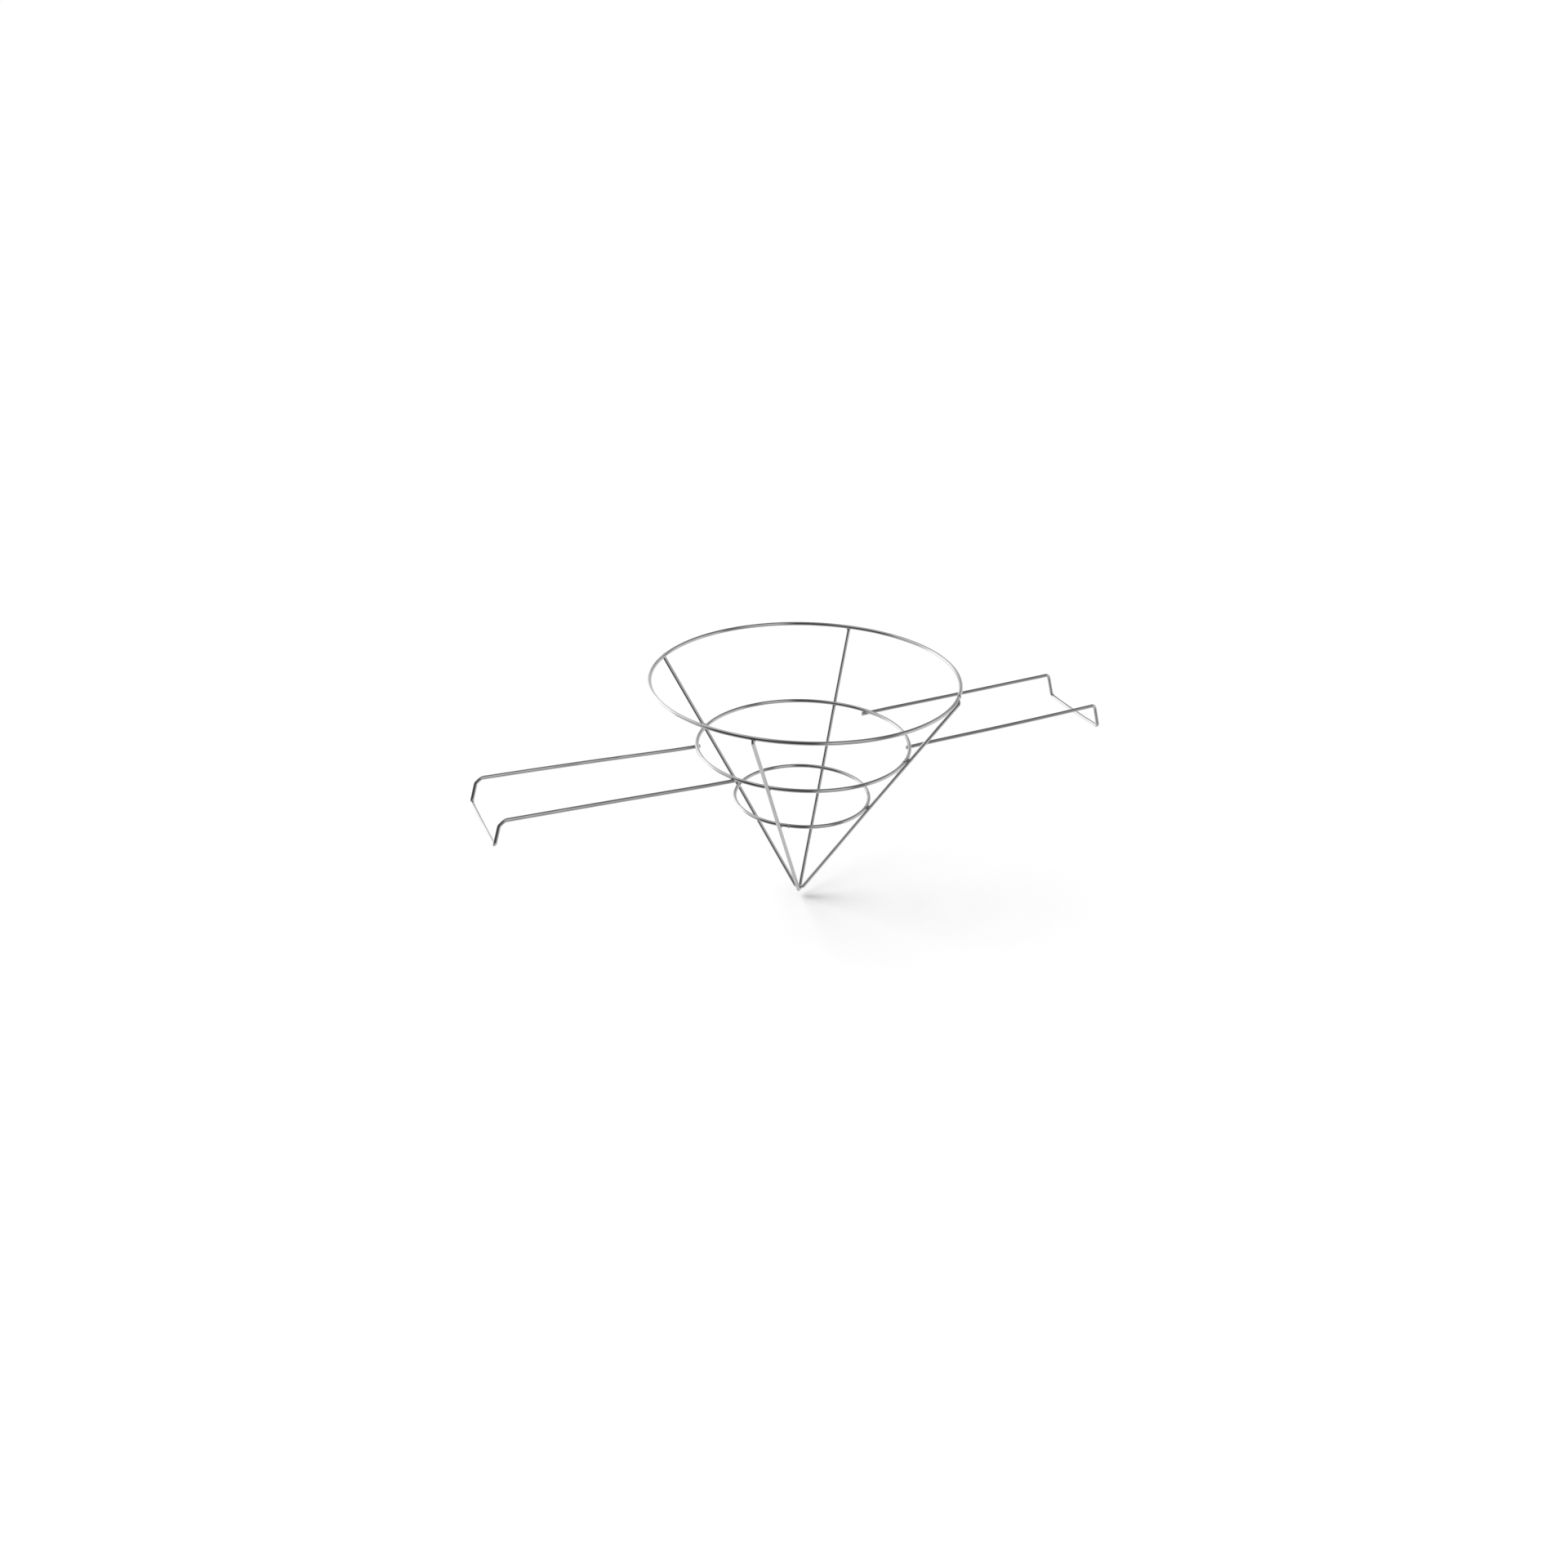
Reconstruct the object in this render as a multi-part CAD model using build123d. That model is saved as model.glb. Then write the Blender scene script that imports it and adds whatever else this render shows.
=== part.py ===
# Wire rack that holds a paper filter cone over a stock pot.
#
# Seven bent wires of one gauge, welded where they cross: three rings, two V-shaped ribs that cross
# at the tip and turn in under the top ring, and two hairpin arms welded under the middle ring.  The
# arms lie across the pot's rim, and their ends turn down outside it.
#
# Frame, in millimetres: +Z is up and is the cone's axis, +X runs out along the right arm.  The
# origin is on the axis, level with the rim of the nominal pot that the arms rest on.

from build123d import *
from math import atan, cos, degrees, radians, sin, sqrt, tan
import os

# ---------------------------------------------------------------- driving dimensions
WIRE = 3.2                     # wire diameter (1/8 in)
WIRE_R = WIRE / 2
POT_RIM_R = 180.0              # nominal pot, out to its rim
CONE_ANGLE = 32.9              # between the cone's side and its axis, in degrees
RING_R = {"top": 127.0, "middle": 88.9, "bottom": 57.15}   # to the middle of the wire

RIB_SET_DOWN = 0.25            # how far a rib sinks into the middle and bottom rings
ARM_SET_DOWN = 0.4             # how far an arm sinks into the middle ring
TIP_SET_DOWN = 0.2             # how far the ribs sink into each other at the tip

RIB_ANGLES = {"outer": (45.0, 225.0), "inner": (315.0, 131.6)}   # where each rib's legs stand
ELBOW_DROP = 2.5               # a rib turns in to the top ring this far below it
ELBOW_BEND = 2.5
RIB_END_SHORT = 1.05           # from a rib's cut end to the middle of the top ring's wire
LOWER_ANGLE = 32.45            # between a rib and the axis below the bottom ring, in degrees
LOWER_BEND = 2500.0
OUTER_TIP_BEND = 2.6           # bend at the tip of the rib that passes underneath
INNER_TIP_BEND = 2.6           # the two bends of the flat foot that lies on it

# an arm: which way it points, its climb outwards in degrees, half the gap between its two wires at
# the ring and at its end, where it turns down, where its cross wire is and how far below, how much
# further out than that one wire turns and how much nearer the other, and how many bends that takes
ARMS = {
    "right": {"side": 1, "climb": 1.2, "inner_gap": 38.0, "outer_gap": 38.0,
              "corner_x": 276.2, "end_x": 283.1, "drop": 21.8, "skew": 2.4, "bends": 1},
    "left": {"side": -1, "climb": 2.1, "inner_gap": 35.4, "outer_gap": 38.0,
             "corner_x": 269.9, "end_x": 275.5, "drop": 19.4, "skew": 1.9, "bends": 2},
}
ARM_PAST_RING = 2.4            # arm left inside the middle ring
CROSS_WIRE_BOW = 1.2           # the cross wire sags this much at its middle
CORNER_BEND = 4.0              # bend where an arm turns down at once
CORNER_STEP = 3.5              # how far along each leg the two-bend turn begins
CORNER_STEP_BEND = 3.6
HOOK_BEND = 3.4                # bend from the hook into the cross wire

WELD_R = 2.2                   # metal squeezed out round a crossing weld
TOP_WELD_R = 2.05              # and round a rib's end under the top ring
TOP_WELD_DOWN = 0.25           # from the rib's cut end down to the middle of that weld
TIP_WELD_R = 2.6
SEAM_R = 1.95                  # collar left by the butt weld that closes a ring
SEAM_LENGTH = 1.6
SEAM_FROM_RIB = 7.0            # from the nearest rib to that collar, round the ring

# ---------------------------------------------------------------- worked-out places
SLOPE = tan(radians(CONE_ANGLE))
RIB_OFFSET = WIRE - RIB_SET_DOWN                   # rib's middle line to a ring's, square to the rib
RIB_GAP = RIB_OFFSET / cos(radians(CONE_ANGLE))    # the same, measured level


def arm_climb(name, x):
    """How far an arm has climbed at a distance x from the axis, above where it crosses the ring."""
    arm = ARMS[name]
    ring_x = sqrt(RING_R["middle"]**2 - arm["inner_gap"]**2)
    return (x - ring_x) * tan(radians(arm["climb"]))


MEAN_CLIMB = (arm_climb("left", POT_RIM_R) + arm_climb("right", POT_RIM_R)) / 2
ARM_Z = WIRE_R - MEAN_CLIMB                        # the arms' height where they cross the ring
MIDDLE_Z = ARM_Z + WIRE - ARM_SET_DOWN
RING_Z = {name: MIDDLE_Z + (radius - RING_R["middle"]) / SLOPE for name, radius in RING_R.items()}

ELBOW_Z = RING_Z["top"] - ELBOW_DROP
ELBOW_R = RING_R["top"] + RIB_GAP - ELBOW_DROP * SLOPE
END_LEAN = (ELBOW_R - RING_R["top"]) / ELBOW_DROP  # the rib's end points at the ring's middle line
END_DOWN = RIB_END_SHORT / sqrt(1 + END_LEAN**2)
KNEE_Z = RING_Z["bottom"]
KNEE_R = RING_R["bottom"] + RIB_GAP
LOWER_SLOPE = tan(radians(LOWER_ANGLE))
VERTEX_Z = KNEE_Z - KNEE_R / LOWER_SLOPE           # where a rib's two legs would meet
OUTER_FOOT_Z = VERTEX_Z + OUTER_TIP_BEND * (1 / sin(radians(LOWER_ANGLE)) - 1)
INNER_FOOT_Z = OUTER_FOOT_Z + WIRE - TIP_SET_DOWN
INNER_FOOT_R = (INNER_FOOT_Z - VERTEX_Z) * LOWER_SLOPE


# ---------------------------------------------------------------- shapes
def tube(points, radii):
    """Round wire along straight runs joined by arcs."""
    path = FilletPolyline(*points, radius=radii)
    section = Plane(origin=path @ 0, z_dir=path % 0) * Circle(WIRE_R)
    return sweep(section, path=path)


def ring(name):
    """Closed ring of wire on the cone."""
    return Pos(0, 0, RING_Z[name]) * Torus(RING_R[name], WIRE_R)


def around(radius, z, angle):
    """Point at an angle round the axis, in degrees."""
    return Vector(radius * cos(radians(angle)), radius * sin(radians(angle)), z)


def rib(name):
    """V of wire whose legs stand outside the rings, with ends turned in under the top ring."""
    end = (RING_R["top"] + END_DOWN * END_LEAN, RING_Z["top"] - END_DOWN)
    leg = [end, (ELBOW_R, ELBOW_Z), (KNEE_R, KNEE_Z)]
    first, second = RIB_ANGLES[name]
    down = [around(r, z, first) for r, z in leg]
    climb = [around(r, z, second) for r, z in reversed(leg)]
    if name == "outer":
        foot = [Vector(0, 0, VERTEX_Z)]
        foot_bends = [OUTER_TIP_BEND]
    else:
        foot = [around(INNER_FOOT_R, INNER_FOOT_Z, angle) for angle in (first, second)]
        foot_bends = [INNER_TIP_BEND] * 2
    return tube(down + foot + climb, [ELBOW_BEND, LOWER_BEND, *foot_bends, LOWER_BEND, ELBOW_BEND])


def arm(name):
    """Hairpin of wire that runs out from the middle ring, turns down and crosses over."""
    size = ARMS[name]
    ring_x = sqrt(RING_R["middle"]**2 - size["inner_gap"]**2)
    inner_x = ring_x - ARM_PAST_RING
    end_z = ARM_Z + arm_climb(name, size["corner_x"]) - size["drop"]

    def side(way):
        """One of the arm's two wires, outwards from the ring."""
        corner_x = size["corner_x"] + way * size["skew"]
        end_x = size["end_x"] + way * size["skew"]
        corner_z = ARM_Z + arm_climb(name, corner_x)
        if size["bends"] == 1:
            corners = [(corner_x, corner_z)]
        else:
            before = corner_x - CORNER_STEP
            after = corner_x + CORNER_STEP * (end_x - corner_x) / (corner_z - end_z)
            corners = [(before, ARM_Z + arm_climb(name, before)), (after, corner_z - CORNER_STEP)]
        line = [(inner_x, ARM_Z + arm_climb(name, inner_x)), *corners, (end_x, end_z)]
        widening = (size["outer_gap"] - size["inner_gap"]) / (corner_x - ring_x)
        gaps = [size["inner_gap"] + widening * (min(x, corner_x) - ring_x) for x, z in line]
        return [(x, way * gap, z) for (x, z), gap in zip(line, gaps)]

    bends = [CORNER_BEND] if size["bends"] == 1 else [CORNER_STEP_BEND] * 2
    sag_turn = 2 * atan(CROSS_WIRE_BOW / size["outer_gap"])
    sag_bend = 0.8 * size["outer_gap"] / tan(sag_turn / 2)
    radii = [*bends, HOOK_BEND, sag_bend, HOOK_BEND, *bends]
    middle = (size["end_x"], 0, end_z - CROSS_WIRE_BOW)
    wire = tube([*side(1), middle, *reversed(side(-1))], radii)
    return Rot(0, 0, 0 if size["side"] > 0 else 180) * wire


def bead(centre, radius, wires, angle=0):
    """Squeezed-out metal that fills the crevice between two crossing wires."""
    shape = Pos(centre.X, centre.Y, centre.Z) * Rot(0, 0, angle) * Sphere(radius)
    for wire in wires:
        shape = shape - wire
    return shape


def seam(name, rib_angle, way):
    """Thin collar beside a rib, where a ring's two ends were butt-welded."""
    angle = rib_angle + way * degrees(SEAM_FROM_RIB / RING_R[name])
    at = around(RING_R[name], RING_Z[name], angle)
    collar = Cylinder(SEAM_R, SEAM_LENGTH)
    collar = fillet(collar.edges(), (SEAM_R - WIRE_R) * 0.8)
    return Pos(at.X, at.Y, at.Z) * Rot(0, 0, angle) * Rot(90, 0, 0) * collar - ring(name)


# ---------------------------------------------------------------- wires
rings = {name: ring(name) for name in RING_R}
whole_ribs = {name: rib(name) for name in RIB_ANGLES}
whole_arms = {name: arm(name) for name in ARMS}
ribs = dict(whole_ribs)            # the same wires, with the flats that welding presses into them
for name in ribs:
    for each in rings.values():
        ribs[name] = ribs[name] - each
ribs["inner"] = ribs["inner"] - whole_ribs["outer"]
arms = {name: whole_arms[name] - rings["middle"] for name in ARMS}

# ---------------------------------------------------------------- welds
LEFT_FRONT_RIB = 225.0
RIGHT_FRONT_RIB = 315.0


def rib_welds(name):
    """The four beads that hold the ribs to one ring."""
    if name == "top":
        down = END_DOWN + TOP_WELD_DOWN
        out = down * END_LEAN
        size = TOP_WELD_R
    else:
        out = RIB_OFFSET / 2 * cos(radians(CONE_ANGLE))
        down = RIB_OFFSET / 2 * sin(radians(CONE_ANGLE))
        size = WELD_R
    beads = []
    for rib_name, angles in RIB_ANGLES.items():
        for angle in angles:
            centre = around(RING_R[name] + out, RING_Z[name] - down, angle)
            beads.append(bead(centre, size, [rings[name], whole_ribs[rib_name]], angle))
    return beads


def arm_welds():
    """The four beads that hold the arms under the middle ring."""
    beads = []
    for name, size in ARMS.items():
        ring_x = sqrt(RING_R["middle"]**2 - size["inner_gap"]**2)
        for y in (size["inner_gap"], -size["inner_gap"]):
            centre = Vector(size["side"] * ring_x, y, MIDDLE_Z - (WIRE - ARM_SET_DOWN) / 2)
            beads.append(bead(centre, WELD_R, [rings["middle"], whole_arms[name]]))
    return beads


# ---------------------------------------------------------------- export
nodes = {
    "top_ring": [rings["top"]],
    "middle_ring": [rings["middle"]],
    "bottom_ring": [rings["bottom"]],
    "outer_rib_wire": [ribs["outer"]],
    "inner_rib_wire": [ribs["inner"]],
    "left_arm_wire": [arms["left"]],
    "right_arm_wire": [arms["right"]],
    "top_ring_seam": [seam("top", RIGHT_FRONT_RIB, 1)],
    "middle_ring_seam": [seam("middle", RIGHT_FRONT_RIB, -1)],
    "bottom_ring_seam": [seam("bottom", LEFT_FRONT_RIB, 1)],
    "top_ring_welds": rib_welds("top"),
    "middle_ring_welds": rib_welds("middle"),
    "bottom_ring_welds": rib_welds("bottom"),
    "arm_welds": arm_welds(),
    "tip_weld": [bead(Vector(0, 0, (OUTER_FOOT_Z + INNER_FOOT_Z) / 2), TIP_WELD_R,
                      list(whole_ribs.values()))],
}

os.makedirs("parts", exist_ok=True)
for name, pieces in nodes.items():
    solids = [solid for piece in pieces for solid in piece.solids()]
    export_step(Compound(children=solids), f"parts/{name}.step")
    print(name, len(solids), round(sum(solid.volume for solid in solids), 2))
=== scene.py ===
from math import atan, atan2, cos, degrees, exp, pi, radians, sin, sqrt, tan

import bmesh
import bpy
from mathutils import Matrix, Vector, noise


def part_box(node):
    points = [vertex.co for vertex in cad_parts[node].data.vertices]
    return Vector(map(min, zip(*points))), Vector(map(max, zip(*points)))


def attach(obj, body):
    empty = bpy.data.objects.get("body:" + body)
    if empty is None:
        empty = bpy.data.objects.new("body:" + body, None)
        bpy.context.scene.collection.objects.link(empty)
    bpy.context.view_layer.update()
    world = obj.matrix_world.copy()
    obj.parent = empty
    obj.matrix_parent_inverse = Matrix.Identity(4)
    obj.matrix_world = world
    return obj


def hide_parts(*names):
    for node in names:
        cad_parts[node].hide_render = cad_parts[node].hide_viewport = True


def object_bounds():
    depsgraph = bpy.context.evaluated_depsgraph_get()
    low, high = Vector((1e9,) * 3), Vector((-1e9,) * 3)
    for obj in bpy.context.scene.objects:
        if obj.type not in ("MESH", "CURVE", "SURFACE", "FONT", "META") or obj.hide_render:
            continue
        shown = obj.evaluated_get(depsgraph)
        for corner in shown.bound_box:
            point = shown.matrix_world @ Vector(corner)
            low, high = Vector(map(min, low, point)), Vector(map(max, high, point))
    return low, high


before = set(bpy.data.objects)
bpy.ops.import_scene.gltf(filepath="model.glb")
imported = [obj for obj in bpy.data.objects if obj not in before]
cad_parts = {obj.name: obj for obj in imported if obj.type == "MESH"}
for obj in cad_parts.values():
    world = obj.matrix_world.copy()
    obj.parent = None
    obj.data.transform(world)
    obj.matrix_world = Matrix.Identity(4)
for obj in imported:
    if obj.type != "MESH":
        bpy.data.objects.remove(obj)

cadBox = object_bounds()
mm = 0.001
up = Vector((0, 0, 1))


def middleOf(node):
    lo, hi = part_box(node)
    return (lo + hi) / 2


def spanOf(node):
    lo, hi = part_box(node)
    return hi - lo


wireR = spanOf("top_ring").z / 2
ringNodes = ("top_ring", "middle_ring", "bottom_ring")
ringRadius = {node: spanOf(node).x / 2 - wireR for node in ringNodes}
ringHeight = {node: middleOf(node).z for node in ringNodes}
coneSlope = (ringRadius["top_ring"] - ringRadius["bottom_ring"]) \
    / (ringHeight["top_ring"] - ringHeight["bottom_ring"])
coneAngle = atan(coneSlope)
ribAngles = {"outer_rib_wire": (radians(45), radians(225)),
             "inner_rib_wire": (radians(315), radians(131.6))}
leftFrontRib = ribAngles["outer_rib_wire"][1]
rightFrontRib = ribAngles["inner_rib_wire"][0]


class Wired:
    # a socket that can be used in a sum

    def __init__(self, finish, socket):
        self.finish = finish
        self.socket = socket

    def sum(self, operation, *others):
        inputs = dict(enumerate((self, *others)))
        return self.finish.add("ShaderNodeMath", {"operation": operation}, inputs)

    def __add__(self, other): return self.sum("ADD", other)
    def __radd__(self, other): return self.sum("ADD", other)
    def __mul__(self, other): return self.sum("MULTIPLY", other)
    def __rmul__(self, other): return self.sum("MULTIPLY", other)
    def __sub__(self, other): return self.sum("SUBTRACT", other)
    def __rsub__(self, other): return (self * -1).sum("ADD", other)


class Finish:
    # one material under construction

    def __init__(self, name):
        self.material = bpy.data.materials.new(name)
        self.material.use_nodes = True
        self.tree = self.material.node_tree
        self.tree.nodes.clear()

    def add(self, kind, settings=None, inputs=None, out=0):
        node = self.tree.nodes.new(kind)
        for key, value in (settings or {}).items():
            if key == "stops":
                while len(node.color_ramp.elements) < len(value):
                    node.color_ramp.elements.new(0.5)
                for element, (place, shade) in zip(node.color_ramp.elements, value):
                    element.position = place
                    element.color = (shade, shade, shade, 1)
            else:
                setattr(node, key, value)
        for key, value in (inputs or {}).items():
            if isinstance(value, Wired):
                self.tree.links.new(value.socket, node.inputs[key])
            else:
                node.inputs[key].default_value = value
        return Wired(self, node.outputs[out]) if node.outputs else None

    def ramp(self, value, *stops):
        return self.add("ShaderNodeValToRGB", {"stops": stops}, {"Fac": value})

    def noise(self, coords, size, detail=2.0, roughness=0.5):
        inputs = {"Vector": coords, "Scale": 1 / size, "Detail": detail, "Roughness": roughness}
        return self.add("ShaderNodeTexNoise", {}, inputs)

    def stretched(self, coords, sizes):
        scale = tuple(1 / size for size in sizes)
        return self.add("ShaderNodeMapping", {}, {"Vector": coords, "Scale": scale})

    def blend(self, amount, first, second):
        inputs = {0: amount, 6: first, 7: second}
        return self.add("ShaderNodeMix", {"data_type": "RGBA"}, inputs, out=2)

    def bump(self, height, distance):
        inputs = {"Strength": 1.0, "Distance": distance, "Height": height}
        return self.add("ShaderNodeBump", {}, inputs)

    def attribute(self, name):
        return self.add("ShaderNodeAttribute", {"attribute_name": name}, out=2)

    def objectPlace(self):
        return self.add("ShaderNodeTexCoord", out=3)

    def wirePlace(self):
        # the wire as it was before bending: its length along x, its round skin in y and z
        run = self.add("ShaderNodeUVMap", {"uv_map": "wireRun"})
        along = self.add("ShaderNodeSeparateXYZ", {}, {0: run}, out=0)
        turn = self.add("ShaderNodeSeparateXYZ", {}, {0: run}, out=1) * (2 * pi)
        skin = {1: turn.sum("COSINE") * wireR, 2: turn.sum("SINE") * wireR}
        return self.add("ShaderNodeCombineXYZ", {}, {0: along, **skin})

    def close(self, inputs):
        shader = self.add("ShaderNodeBsdfPrincipled", {}, inputs)
        self.add("ShaderNodeOutputMaterial", {}, {0: shader})
        return self.material


def grey(level, warmth=0.0):
    return (level * (1 + warmth), level, level * (1 - warmth), 1)


chromeLook = {
    "bright": grey(0.57, -0.008),
    "dim": grey(0.49, 0.0),
    # painted shade: dark warm colour laid on the wire near each weld, in the crevices where the wires
    # cross
    "creviceShade": grey(0.14, 0.08),
    "roughness": 0.04,
    "lineSize": (28 * mm, 0.16 * mm, 0.16 * mm),    # fine lines left by drawing the wire
    "peelSize": 0.9 * mm,                           # orange peel in the plate
    "waveSize": (9 * mm, 2.4 * mm, 2.4 * mm),
    "patchSize": (22 * mm, 4 * mm, 4 * mm),
    "pitSize": 0.35 * mm,
    "bumpDepth": 0.004 * mm,
}


def chromeWire():
    look = chromeLook
    finish = Finish("chromeWire")
    place = finish.wirePlace()
    nearWeld = finish.attribute("nearWeld")
    scuffed = finish.attribute("scuffed")
    drawLines = finish.noise(finish.stretched(place, look["lineSize"]), 1, 3)
    peel = finish.noise(place, look["peelSize"], 2)
    waves = finish.noise(finish.stretched(place, look["waveSize"]), 1, 1)
    patches = finish.noise(finish.stretched(place, look["patchSize"]), 1, 3)
    pits = finish.ramp(finish.noise(place, look["pitSize"], 1), (0.70, 0), (0.78, 1))
    # painted shade: the wire's colour is darkened towards each weld, where shade falls between crossing
    # wires; the same mask also raises roughness there
    creviceShaded = finish.ramp(nearWeld * (0.55 + patches * 0.9), (0.62, 0), (0.95, 1))
    rubbed = finish.ramp(scuffed * (0.5 + drawLines), (0.35, 0), (0.75, 1))
    plate = finish.blend(finish.ramp(patches, (0.35, 0), (0.75, 1)), look["bright"], look["dim"])
    colour = finish.blend(creviceShaded, plate, look["creviceShade"])
    worn = patches * 0.03 + drawLines * 0.02 + pits * 0.12 + creviceShaded * 0.28 + rubbed * 0.32
    relief = drawLines * 0.22 + peel * 0.14 + waves * 1.3 - pits * 0.6
    return finish.close({"Base Color": colour, "Metallic": 1.0, "Roughness": look["roughness"] + worn,
                         "Normal": finish.bump(relief, look["bumpDepth"])})


weldLook = {
    "bright": grey(0.50, 0.0),
    "dark": grey(0.20, 0.06),
    "lumpSize": 1.1 * mm,
    "grainSize": 0.22 * mm,
    "bumpDepth": 0.05 * mm,
}


def weldMetal():
    look = weldLook
    finish = Finish("weldMetal")
    place = finish.objectPlace()
    lumps = finish.noise(place, look["lumpSize"], 4, 0.6)
    grains = finish.noise(place, look["grainSize"], 3, 0.6)
    bare = finish.ramp(lumps * 0.7 + grains * 0.3, (0.34, 0), (0.52, 1))
    colour = finish.blend(bare, look["dark"], look["bright"])
    rough = 0.16 + grains * 0.30 + (1 - bare) * 0.18
    return finish.close({"Base Color": colour, "Metallic": 1.0, "Roughness": rough,
                         "Normal": finish.bump(lumps + grains * 0.4, look["bumpDepth"])})


endLook = {
    "torn": grey(0.26, 0.03),
    "bright": grey(0.48, 0.0),
    "tearSize": (1.2 * mm, 1.2 * mm, 0.14 * mm),
    "bumpDepth": 0.03 * mm,
}


def shearedEnd():
    look = endLook
    finish = Finish("shearedEnd")
    tears = finish.noise(finish.stretched(finish.objectPlace(), look["tearSize"]), 1, 3)
    colour = finish.blend(tears, look["torn"], look["bright"])
    return finish.close({"Base Color": colour, "Metallic": 1.0, "Roughness": 0.22 + tears * 0.2,
                         "Normal": finish.bump(tears, look["bumpDepth"])})


print("materials")
chrome = chromeWire()
weldSkin = weldMetal()
endSkin = shearedEnd()


def around(radius, height, angle):
    return Vector((radius * cos(angle), radius * sin(angle), height))


rib = {
    "elbowDrop": 2.5 * mm,      # a rib turns in to the top ring this far below it
    "elbowBend": 2.5 * mm,
    "endShort": 1.05 * mm,      # its cut end stops this short of the middle of the ring's wire
    "offset": 2.95 * mm,        # from its middle line to a ring's, square to it
    "lowerAngle": radians(32.45),   # it runs steeper below the bottom ring
    "lowerBend": 2500 * mm,
    "tipBend": 2.6 * mm,
    "weldDown": 0.1 * mm,       # the weld under the top ring is this far below the cut end
    "wobble": 0.22 * mm,
    "wobbleLengths": (31 * mm, 83 * mm),
}
ribGap = rib["offset"] / cos(coneAngle)
elbowHeight = ringHeight["top_ring"] - rib["elbowDrop"]
elbowRadius = ringRadius["top_ring"] + ribGap - rib["elbowDrop"] * coneSlope
kneeHeight = ringHeight["bottom_ring"]
kneeRadius = ringRadius["bottom_ring"] + ribGap
lowerSlope = tan(rib["lowerAngle"])
vertexHeight = kneeHeight - kneeRadius / lowerSlope
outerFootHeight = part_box("outer_rib_wire")[0].z + wireR
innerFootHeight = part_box("inner_rib_wire")[0].z + wireR
innerFootRadius = (innerFootHeight - vertexHeight) * lowerSlope
endLean = (elbowRadius - ringRadius["top_ring"]) / rib["elbowDrop"]
endDown = rib["endShort"] / sqrt(1 + endLean**2)

# half the gap between an arm's two wires at the ring, where they turn down, how far below the
# cross wire is, how much further out than that one of them turns, and whether that takes two bends
arms = {
    "right_arm_wire": {"side": 1, "climb": radians(1.2), "innerGap": 38.0 * mm,
                       "cornerX": 276.2 * mm, "endX": 283.1 * mm, "drop": 21.8 * mm,
                       "skew": 2.4 * mm, "cornerStep": 0, "cornerBend": 4.0 * mm},
    "left_arm_wire": {"side": -1, "climb": radians(2.1), "innerGap": 35.4 * mm,
                      "cornerX": 269.9 * mm, "endX": 275.5 * mm, "drop": 19.4 * mm,
                      "skew": 1.9 * mm, "cornerStep": 3.5 * mm, "cornerBend": 3.6 * mm},
}
armPastRing = 2.4 * mm
armUnderRing = 2.8 * mm         # from the middle ring's middle line down to an arm's
hook = {"bow": 1.2 * mm, "bend": 3.4 * mm}
armHeight = ringHeight["middle_ring"] - armUnderRing     # where the arms cross under the ring


def ringEdge(gap):
    # how far out the middle ring is where a wire this far from the middle crosses it
    return sqrt(ringRadius["middle_ring"]**2 - gap**2)


def ribWelds(node):
    # place, and the direction from the ring to the rib
    places = []
    for angles in ribAngles.values():
        for angle in angles:
            if node == "top_ring":
                down = endDown + rib["weldDown"]
                place = around(ringRadius[node] + down * endLean, ringHeight[node] - down, angle)
                out = around(endLean, -1, angle).normalized()
            else:
                out = around(cos(coneAngle), -sin(coneAngle), angle)
                place = around(ringRadius[node], ringHeight[node], angle) + out * (rib["offset"] / 2)
            places.append((place, out))
    return places


def armWelds():
    places = []
    for node, arm in arms.items():
        x = arm["side"] * ringEdge(arm["innerGap"])
        for gap in (arm["innerGap"], -arm["innerGap"]):
            places.append((Vector((x, gap, (armHeight + ringHeight["middle_ring"]) / 2)), -up))
    return places


weldPlaces = {node: ribWelds(node) for node in ringNodes}
weldPlaces["arms"] = armWelds()
weldPlaces["tip"] = [(up * ((outerFootHeight + innerFootHeight) / 2), -up)]
allWelds = [place for places in weldPlaces.values() for place, out in places]


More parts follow.
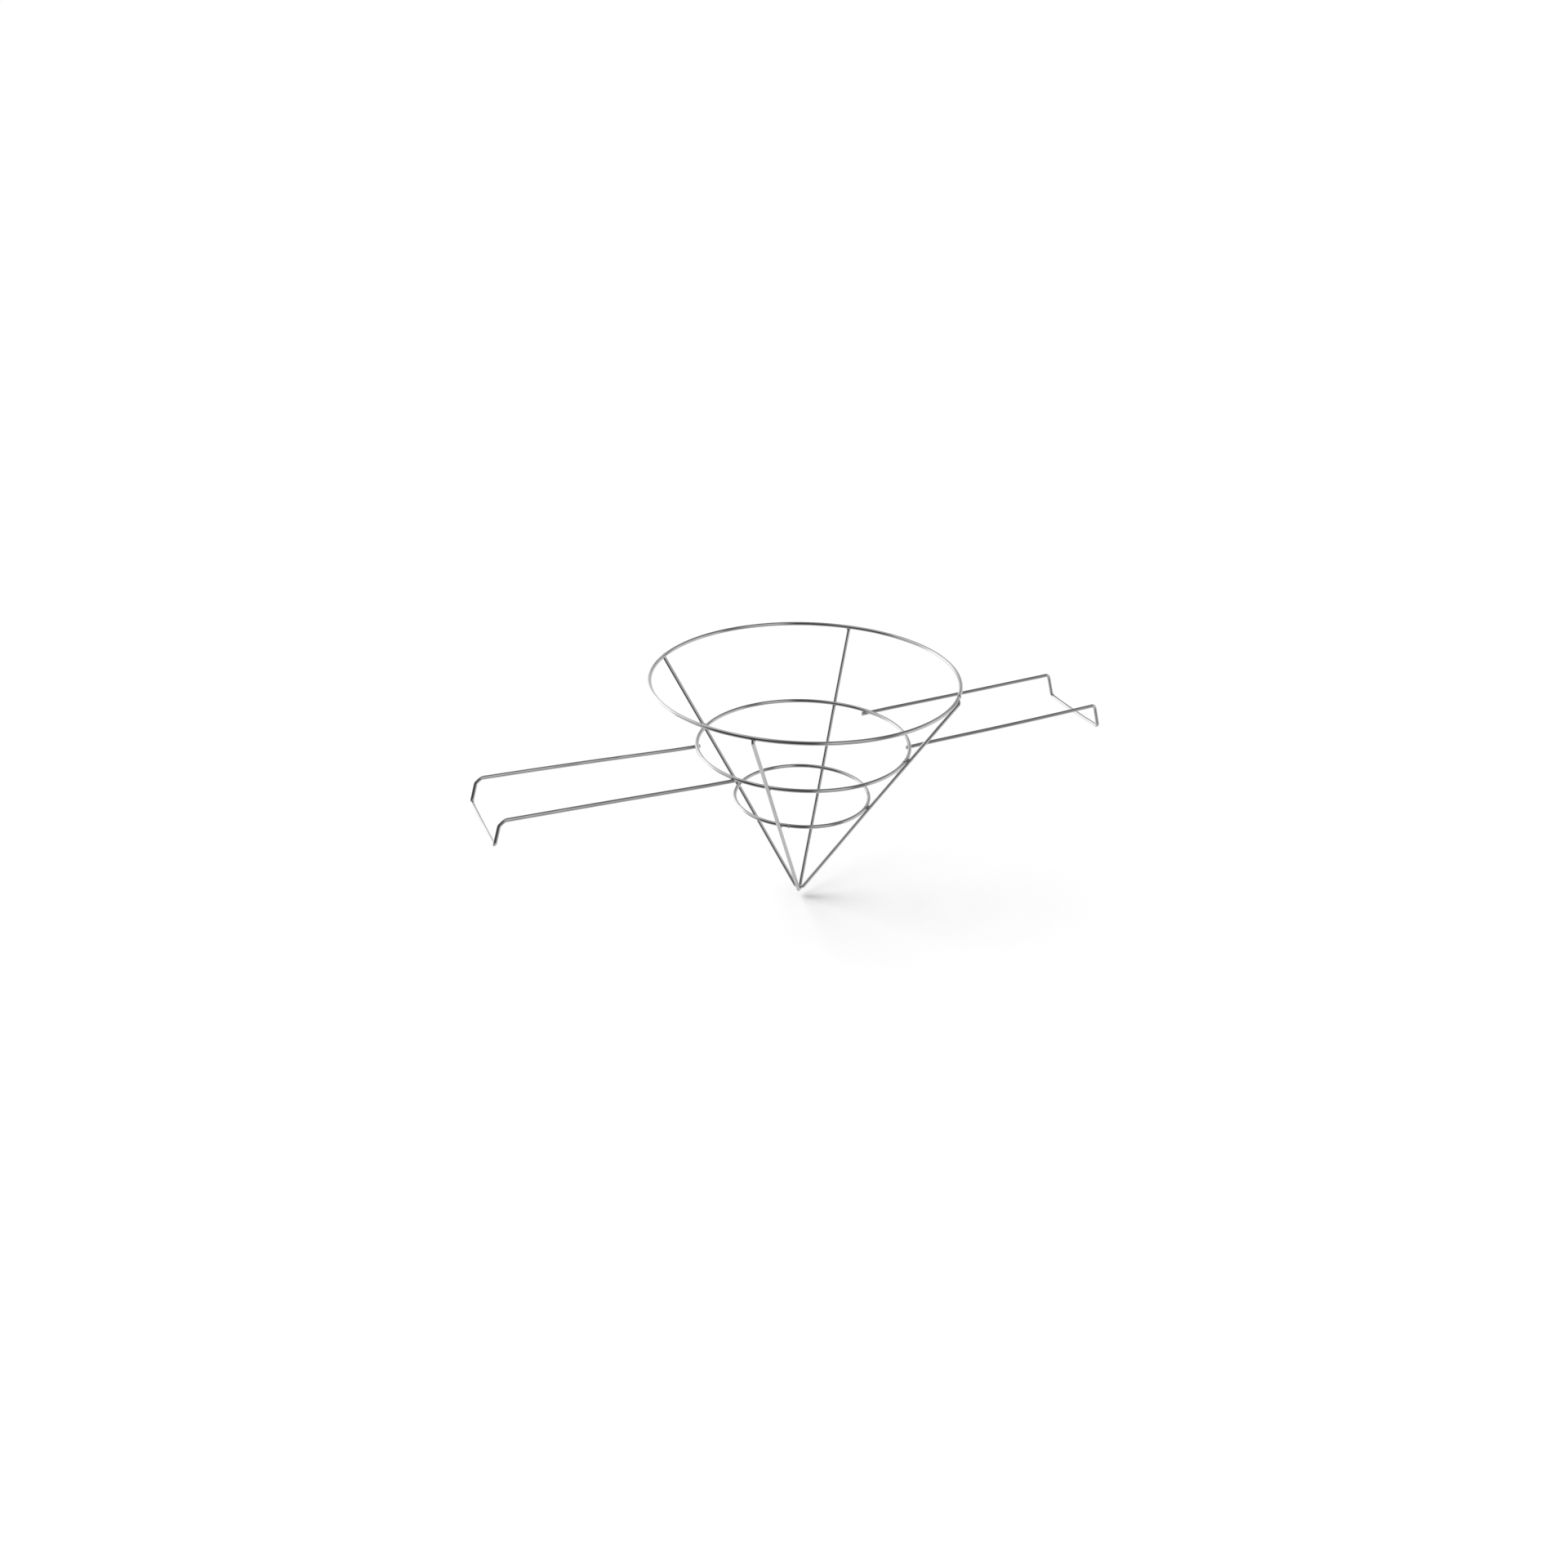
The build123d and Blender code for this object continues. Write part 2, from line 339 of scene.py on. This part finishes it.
class Bender:
    # feeds round wire from a start, straight or round a bend, as a bending machine does

    around = 36
    step = 2.5 * mm
    turnStep = radians(6)
    endCuts = ((0.16 * mm, 0.90), (0.04 * mm, 0.62))    # how far out a cut end's edge goes, and its size
    # how far the painted shade spreads along a wire from each weld
    creviceShadeReach = 1.3 * mm

    def __init__(self, start, heading):
        self.bm = bmesh.new()
        self.run = self.bm.verts.layers.float.new("run")
        self.place = self.bm.verts.layers.int.new("place")
        self.at = start.copy()
        self.heading = heading.normalized()
        self.fed = 0.0
        section = self.heading.to_track_quat("Z", "Y").to_matrix().to_4x4()
        made = bmesh.ops.create_circle(self.bm, segments=self.around, radius=wireR,
                                       matrix=Matrix.Translation(start) @ section)
        for number, vert in enumerate(made["verts"]):
            vert[self.place] = number
        self.rim = self.bm.edges[:]
        self.firstRim = self.rim
        self.start = start.copy()
        self.startHeading = self.heading.copy()

    def advance(self, matrix, length):
        made = bmesh.ops.extrude_edge_only(self.bm, edges=self.rim)["geom"]
        verts = [item for item in made if isinstance(item, bmesh.types.BMVert)]
        bmesh.ops.transform(self.bm, matrix=matrix, verts=verts)
        self.fed += length
        for vert in verts:
            vert[self.run] = self.fed
        fresh = set(verts)
        self.rim = [item for item in made if isinstance(item, bmesh.types.BMEdge)
                    and fresh.issuperset(item.verts)]
        self.at = matrix @ self.at

    def straight(self, length):
        steps = max(1, round(length / self.step))
        for _ in range(steps):
            self.advance(Matrix.Translation(self.heading * (length / steps)), length / steps)

    def bend(self, heading, radius):
        angle = self.heading.angle(heading)
        axis = self.heading.cross(heading).normalized()
        centre = self.at + axis.cross(self.heading) * radius
        steps = max(2, round(angle / self.turnStep), round(angle * radius / self.step))
        turn = Matrix.Translation(centre) @ Matrix.Rotation(angle / steps, 4, axis) \
            @ Matrix.Translation(-centre)
        for _ in range(steps):
            self.advance(turn, angle * radius / steps)
        self.heading = heading.normalized()

    def route(self, corners, bends):
        # straight runs between corners, with an arc cut inside each inner corner
        trims = [0.0]
        for before, corner, after, radius in zip(corners, corners[1:], corners[2:], bends):
            trims.append(radius * tan((corner - before).angle(after - corner) / 2))
        trims.append(0.0)
        for number, (corner, after) in enumerate(zip(corners, corners[1:])):
            if number:
                self.bend(after - corner, bends[number - 1])
            self.straight((after - corner).length - trims[number] - trims[number + 1])

    def cutEnds(self):
        self.ends = []
        for rim, centre, out in ((self.firstRim, self.start, -self.startHeading),
                                 (self.rim, self.at, self.heading)):
            for push, size in self.endCuts:
                made = bmesh.ops.extrude_edge_only(self.bm, edges=rim)["geom"]
                verts = [item for item in made if isinstance(item, bmesh.types.BMVert)]
                toOrigin = Matrix.Translation(-centre)
                bmesh.ops.scale(self.bm, vec=(size,) * 3, space=toOrigin, verts=verts)
                bmesh.ops.translate(self.bm, vec=out * push, verts=verts)
                self.ends += [item for item in made if isinstance(item, bmesh.types.BMFace)]
                fresh = set(verts)
                rim = [item for item in made if isinstance(item, bmesh.types.BMEdge)
                       and fresh.issuperset(item.verts)]
            face = bmesh.ops.contextual_create(self.bm, geom=rim)["faces"]
            self.ends += bmesh.ops.poke(self.bm, faces=face)["faces"]

    def settle(self, name, bow, scuff=None):
        # writes the wire's own length into its UV map, shakes it out of true and makes the piece
        bm = self.bm
        uv = bm.loops.layers.uv.new("wireRun")
        for face in bm.faces:
            places = [loop.vert[self.place] for loop in face.loops]
            wraps = max(places) - min(places) > 1
            for loop in face.loops:
                place = loop.vert[self.place]
                if wraps and place == 0:
                    place = self.around
                loop[uv].uv = (loop.vert[self.run], place / self.around)
        nearWeld = bm.verts.layers.float.new("nearWeld")
        scuffed = bm.verts.layers.float.new("scuffed")
        for vert in bm.verts:
            nearest = min((vert.co - weld).length for weld in allWelds)
            vert[nearWeld] = exp(-max(0, nearest - wireR) / self.creviceShadeReach)
            vert[scuffed] = scuff(vert.co) if scuff else 0.0
        for vert in bm.verts:
            vert.co += bow(vert.co, vert[self.run])
        bmesh.ops.remove_doubles(bm, verts=bm.verts, dist=0.002 * mm)
        bmesh.ops.recalc_face_normals(bm, faces=bm.faces)
        for face in bm.faces:
            face.smooth = True
        piece = makePiece(name, bm, [chrome, endSkin])
        return piece


def makePiece(name, bm, skins):
    mesh = bpy.data.meshes.new(name)
    bm.to_mesh(mesh)
    bm.free()
    for skin in skins:
        mesh.materials.append(skin)
    piece = bpy.data.objects.new(name, mesh)
    bpy.context.scene.collection.objects.link(piece)
    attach(piece, "root")
    return piece


def openWire(name, node, corners, bends, bow, scuff=None):
    bender = Bender(corners[0], corners[1] - corners[0])
    bender.route(corners, bends)
    bender.cutEnds()
    for face in bender.ends:
        face.material_index = 1
    piece = bender.settle(name, bow, scuff)
    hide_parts(node)
    print("wire", name, len(piece.data.polygons), "faces,", round(bender.fed / mm), "mm long")
    return piece


rings = {
    "top_ring": {"name": "topRing", "seam": rightFrontRib, "way": 1,
                 "bulge": 0.5 * mm, "sag": 0.35 * mm},
    "middle_ring": {"name": "middleRing", "seam": rightFrontRib, "way": -1,
                    "bulge": 0.35 * mm, "sag": 0.3 * mm},
    "bottom_ring": {"name": "bottomRing", "seam": leftFrontRib, "way": 1,
                    "bulge": 0.25 * mm, "sag": 0.2 * mm},
}
seamFromRib = 7 * mm
seamFlat = 6 * mm       # a rolled ring stays flatter this near its seam, by this much
seamPull = 0.25 * mm


def makeRing(node):
    ring = rings[node]
    radius = ringRadius[node]
    height = ringHeight[node]
    seamAngle = ring["seam"] + ring["way"] * seamFromRib / radius

    def bow(place, run):
        angle = run / radius
        fromRibs = (1 + cos(4 * (angle + seamAngle))) / 2
        toSeam = min(run, 2 * pi * radius - run)
        out = ring["bulge"] * fromRibs - seamPull * exp(-(toSeam / seamFlat)**2)
        lift = ring["sag"] * sin(2 * (angle + seamAngle) + 0.6)
        level = Vector((place.x, place.y, 0)).normalized()
        return level * out + up * lift

    bender = Bender(around(radius, height, seamAngle), around(1, 0, seamAngle + pi / 2))
    steps = round(2 * pi * radius / bender.step)
    turn = Matrix.Rotation(2 * pi / steps, 4, "Z")
    for _ in range(steps):
        bender.advance(turn, 2 * pi * radius / steps)
    piece = bender.settle(ring["name"], bow)
    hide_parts(node)
    print("ring", ring["name"], len(piece.data.polygons), "faces")
    return piece


for ringNode in ringNodes:
    makeRing(ringNode)


def makeRib(name, node):
    first, second = ribAngles[node]
    leg = [(ringRadius["top_ring"] + endDown * endLean, ringHeight["top_ring"] - endDown),
           (elbowRadius, elbowHeight), (kneeRadius, kneeHeight)]
    down = [around(radius, height, first) for radius, height in leg]
    climb = [around(radius, height, second) for radius, height in reversed(leg)]
    if node == "outer_rib_wire":
        foot = [Vector((0, 0, vertexHeight))]
    else:
        foot = [around(innerFootRadius, innerFootHeight, angle) for angle in (first, second)]
    corners = down + foot + climb
    bends = [rib["elbowBend"], rib["lowerBend"], *[rib["tipBend"]] * len(foot), rib["lowerBend"],
             rib["elbowBend"]]
    side = around(1, 0, first + pi / 2)

    def bow(place, run):
        short, long = rib["wobbleLengths"]
        return side * (rib["wobble"] * sin(run / short) * sin(run / long))

    return openWire(name, node, corners, bends, bow)


makeRib("outerRibWire", "outer_rib_wire")
makeRib("innerRibWire", "inner_rib_wire")


armWobble = {"fade": 25 * mm, "across": 0.3 * mm, "acrossLength": 37 * mm,
             "lift": 0.25 * mm, "liftLength": 52 * mm}
scuffPatch = {"middle": -195 * mm, "half": 10 * mm, "soft": 3 * mm}


def makeArm(name, node):
    arm = arms[node]
    turned = Matrix.Rotation(0 if arm["side"] > 0 else pi, 3, "Z")
    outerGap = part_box(node)[1].y - wireR
    ringX = ringEdge(arm["innerGap"])
    innerX = ringX - armPastRing

    def height(x):
        return armHeight + (x - ringX) * tan(arm["climb"])

    endZ = height(arm["cornerX"]) - arm["drop"]

    def side(way):
        # one of the arm's two wires, outwards from the ring
        cornerX = arm["cornerX"] + way * arm["skew"]
        endX = arm["endX"] + way * arm["skew"]
        step = arm["cornerStep"]
        turning = [(cornerX, height(cornerX))]
        if step:
            lean = (endX - cornerX) / (height(cornerX) - endZ)
            turning = [(cornerX - step, height(cornerX - step)),
                       (cornerX + step * lean, height(cornerX) - step)]
        line = [(innerX, height(innerX)), *turning, (endX, endZ)]
        widening = (outerGap - arm["innerGap"]) / (cornerX - ringX)
        gaps = [arm["innerGap"] + widening * (min(x, cornerX) - ringX) for x, z in line]
        return [Vector((x, way * gap, z)) for (x, z), gap in zip(line, gaps)]

    middle = Vector((arm["endX"], 0, endZ - hook["bow"]))
    corners = [turned @ corner for corner in [*side(1), middle, *reversed(side(-1))]]
    cornerBends = [arm["cornerBend"]] * (2 if arm["cornerStep"] else 1)
    sagBend = 0.8 * outerGap / tan(atan(hook["bow"] / outerGap))
    bends = [*cornerBends, hook["bend"], sagBend, hook["bend"], *cornerBends]

    def bow(place, run):
        wobble = armWobble
        fade = min(1, max(0, (abs(place.x) - ringX) / wobble["fade"]))
        across = wobble["across"] * sin(place.x / wobble["acrossLength"] + place.y * 9)
        lift = wobble["lift"] * sin(place.x / wobble["liftLength"] - place.y * 14)
        return Vector((0, fade * across, fade * lift))

    def scuff(place):
        # plate rubbed dull where the back wire of the left arm was handled
        if arm["side"] > 0 or place.y < 0:
            return 0.0
        past = abs(place.x - scuffPatch["middle"]) - scuffPatch["half"]
        return max(0.0, 1 - max(0, past) / scuffPatch["soft"])

    return openWire(name, node, corners, bends, bow, scuff)


makeArm("rightArmWire", "right_arm_wire")
makeArm("leftArmWire", "left_arm_wire")


weld = {
    "core": (1.85 * mm, 1.85 * mm, 1.3 * mm),   # lump round a crossing, flat along the squeeze
    "finRadius": 2.0 * mm,                      # thin flash squeezed out between the wires
    "finThick": 0.3 * mm,
    "lumps": 0.14 * mm,
    "lumpSize": 1.0 * mm,
    "finLumps": 0.45 * mm,
    "finLumpSize": 1.2 * mm,
    "finSeed": 4,           # added to a weld's seed for its flash
    "seedStep": 3.1,
}
# butt weld that closes a ring
seam = {"collar": 1.82 * mm, "halfLength": 0.95 * mm, "lumps": 0.12 * mm, "lumpSize": 0.9 * mm}


def lumpy(bm, verts, centre, amount, size, seed):
    for vert in verts:
        out = (vert.co - centre).normalized()
        shift = noise.noise(vert.co / size + Vector((seed, seed * 1.7, -seed)))
        vert.co += out * (amount * shift)


def addWeld(bm, centre, out, seed, scale=1.0):
    squeeze = Matrix.Translation(centre) @ out.to_track_quat("Z", "Y").to_matrix().to_4x4()
    size = Matrix.Diagonal((*(size * scale for size in weld["core"]), 1))
    core = bmesh.ops.create_icosphere(bm, subdivisions=4, radius=1, matrix=squeeze @ size)["verts"]
    lumpy(bm, core, centre, weld["lumps"], weld["lumpSize"], seed)
    under = squeeze @ Matrix.Translation((0, 0, -weld["finThick"] / 2))
    disc = bmesh.ops.create_circle(bm, segments=64, radius=weld["finRadius"] * scale,
                                   cap_ends=True, matrix=under)["verts"]
    face = disc[0].link_faces[0]
    fin = bmesh.ops.extrude_face_region(bm, geom=[face])["geom"]
    lid = [item for item in fin if isinstance(item, bmesh.types.BMVert)]
    bmesh.ops.translate(bm, vec=squeeze.to_3x3() @ Vector((0, 0, weld["finThick"])), verts=lid)
    lumpy(bm, disc + lid, centre, weld["finLumps"], weld["finLumpSize"], seed + weld["finSeed"])


def finishWeld(name, bm, node):
    for face in bm.faces:
        face.smooth = True
    piece = makePiece(name, bm, [weldSkin])
    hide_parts(node)


def makeWelds(name, node, places, seed, scale=1.0):
    bm = bmesh.new()
    for number, (centre, out) in enumerate(places):
        addWeld(bm, centre, out, seed + weld["seedStep"] * number, scale)
    bmesh.ops.recalc_face_normals(bm, faces=bm.faces)
    finishWeld(name, bm, node)
    print("welds", name, len(places))


def makeSeam(name, node, seed):
    centre = middleOf(node)
    along = up.cross(centre)
    bm = bmesh.new()
    across = Matrix.Translation(centre) @ along.to_track_quat("Z", "Y").to_matrix().to_4x4()
    size = Matrix.Diagonal((seam["collar"], seam["collar"], seam["halfLength"], 1))
    verts = bmesh.ops.create_icosphere(bm, subdivisions=5, radius=1, matrix=across @ size)["verts"]
    lumpy(bm, verts, centre, seam["lumps"], seam["lumpSize"], seed)
    finishWeld(name, bm, node)
    print("seam", name)


makeWelds("topRingWelds", "top_ring_welds", weldPlaces["top_ring"], 2.0, 0.88)
makeWelds("middleRingWelds", "middle_ring_welds", weldPlaces["middle_ring"], 15.0)
makeWelds("bottomRingWelds", "bottom_ring_welds", weldPlaces["bottom_ring"], 28.0)
makeWelds("armWelds", "arm_welds", weldPlaces["arms"], 41.0)
makeWelds("tipWeld", "tip_weld", weldPlaces["tip"], 55.0, 1.1)
makeSeam("topRingSeam", "top_ring_seam", 61.0)
makeSeam("middleRingSeam", "middle_ring_seam", 67.0)
makeSeam("bottomRingSeam", "bottom_ring_seam", 73.0)


studio = {
    "floorDrop": 5.5 * mm,      # the rack hangs this far clear of the floor
    "floorSize": 400.0,         # wide enough to have no edge in view
    "floorShade": 0.40,
    "sky": 1.0,
    "keyAzimuth": 150,
    "keyElevation": 45,
    "keyAngle": 50,
    "keyPower": 7.2,
    "ballRadius": 4.0,
}


def floorFinish():
    finish = Finish("paleFloor")
    place = finish.objectPlace()
    cloud = finish.noise(place, 0.3, 3)
    shade = studio["floorShade"]
    colour = finish.blend(cloud, grey(shade), grey(shade * 1.03))
    return finish.close({"Base Color": colour, "Roughness": 0.95, "Specular IOR Level": 0.0})


def stageMesh(name, bm, skin):
    mesh = bpy.data.meshes.new(name)
    bm.to_mesh(mesh)
    bm.free()
    mesh.materials.append(skin)
    thing = bpy.data.objects.new(name, mesh)
    bpy.context.scene.collection.objects.link(thing)
    return thing


def direction(azimuth, elevation):
    a = radians(azimuth)
    e = radians(elevation)
    return Vector((cos(a) * cos(e), sin(a) * cos(e), sin(e)))


def makeFloor():
    bm = bmesh.new()
    bmesh.ops.create_grid(bm, x_segments=1, y_segments=1, size=studio["floorSize"] / 2,
                          matrix=Matrix.Translation((0, 0, cadBox[0].z - studio["floorDrop"])))
    floor = stageMesh("floor", bm, floorFinish())
    floor.visible_glossy = False


# soft boards, flags and windows round the table, which only the polished wire sees: azimuth and
# elevation of the middle, half its width and height, how soft its edge is, all in degrees, and
# its brightness
boards = {
    "whole floor": (0, -90, 400, 62, 10, 0.84),
    "floor to the right": (14, -34, 38, 26, 16, 0.88),
    "floor in front": (-83, -23, 24, 22, 8, 0.34),
    "right wall": (-14, 7, 19, 18, 5, 1.02),
    "shelf over the right wall": (-35, 58, 64, 25, 16, 0.19),
    "dark ceiling": (0, 88, 400, 9, 8, 0.15),
    "front window": (-78, 31, 16, 28, 5, 0.86),
    "gap beside the window": (-58, 2, 10, 31, 5, 0.28),
    "dark side of the room": (-150, 12, 44, 42, 6, 0.07),
    "dark floor": (-148, -40, 30, 14, 6, 0.45),
    "softbox": (119, -5, 25, 42, 8, 1.68),
    "back window": (92, 44, 8, 10, 6, 1.05),
    "post": (49, 24, 14, 5, 5, 0.36),
    "picture rail": (57, 47, 12, 8, 6, 0.32),
    "doorway": (15, 18, 6, 14, 5, 0.16),
    "lamp tube": (101, 31, 20, 4, 6, 1.9),
    "low back wall": (157, -24, 16, 34, 6, 0.62),
}
roomShade = 0.90        # where there is no board


def makeSurround():
    # the boards are painted on the inside of a ball, each over the ones before it
    bm = bmesh.new()
    bmesh.ops.create_uvsphere(bm, u_segments=120, v_segments=60, radius=studio["ballRadius"])
    glow = bm.verts.layers.float.new("glow")
    for vert in bm.verts:
        elevation = degrees(atan2(vert.co.z, Vector((vert.co.x, vert.co.y)).length))
        azimuth = degrees(atan2(vert.co.y, vert.co.x))
        level = roomShade
        for a, e, halfWide, halfHigh, soft, shine in boards.values():
            turned = (azimuth - a + 180) % 360 - 180
            sideways = abs(turned) * cos(radians(e)) - halfWide if abs(e) < 80 else -400
            upward = abs(elevation - e) - halfHigh
            outside = max(sideways, upward) / soft
            cover = min(1, max(0, 0.5 - outside / 2))
            cover = cover * cover * (3 - 2 * cover)
            level += (shine - level) * cover
        vert[glow] = level
    for face in bm.faces:
        face.smooth = True
    finish = Finish("surround")
    shine = finish.add("ShaderNodeAttribute", {"attribute_name": "glow"})
    skin = finish.close({"Base Color": grey(0), "Emission Color": shine, "Emission Strength": 1.0,
                         "Specular IOR Level": 0.0})
    skin.cycles.emission_sampling = "NONE"
    ball = stageMesh("surround", bm, skin)
    ball.visible_camera = False
    ball.visible_diffuse = False
    ball.visible_shadow = False
    ball.visible_transmission = False


def makeLights():
    world = bpy.data.worlds.new("studio")
    bpy.context.scene.world = world
    world.use_nodes = True
    back = world.node_tree.nodes["Background"]
    back.inputs["Color"].default_value = grey(1.0)
    back.inputs["Strength"].default_value = studio["sky"]
    lamp = bpy.data.lights.new("keyLight", "SUN")
    lamp.energy = studio["keyPower"]
    lamp.angle = radians(studio["keyAngle"])
    key = bpy.data.objects.new("keyLight", lamp)
    out = direction(studio["keyAzimuth"], studio["keyElevation"])
    key.location = out
    key.rotation_mode = "QUATERNION"
    key.rotation_quaternion = out.to_track_quat("Z", "Y")
    key.visible_camera = False
    key.visible_glossy = False
    bpy.context.scene.collection.objects.link(key)
    bpy.context.scene.view_settings.view_transform = "Standard"


makeFloor()
makeSurround()
makeLights()
print("studio")


view = {
    "azimuth": -27.18,          # round from the rack's front
    "elevation": 26.70,
    "roll": 1.34,
    "distance": 1168.6 * mm,    # from the top ring, along the view
    "right": -17.46 * mm,       # slid across the view
    "up": -86.96 * mm,
    "lens": 32.72,
}


def makeCamera():
    azimuth = radians(view["azimuth"])
    elevation = radians(view["elevation"])
    back = Vector((sin(azimuth) * cos(elevation), -cos(azimuth) * cos(elevation), sin(elevation)))
    level = Vector((cos(azimuth), sin(azimuth), 0))
    high = back.cross(level)
    roll = Matrix.Rotation(radians(view["roll"]), 3, back)
    level = roll @ level
    high = roll @ high
    camera = bpy.data.objects.new("camera", bpy.data.cameras.new("camera"))
    camera.data.lens = view["lens"]
    camera.data.clip_start = 0.01
    camera.data.clip_end = 200
    turned = Matrix((level, high, back)).transposed().to_4x4()
    aim = up * ringHeight["top_ring"]
    place = aim + back * view["distance"] + level * view["right"] + high * view["up"]
    camera.matrix_world = Matrix.Translation(place) @ turned
    bpy.context.scene.collection.objects.link(camera)
    bpy.context.scene.camera = camera


makeCamera()
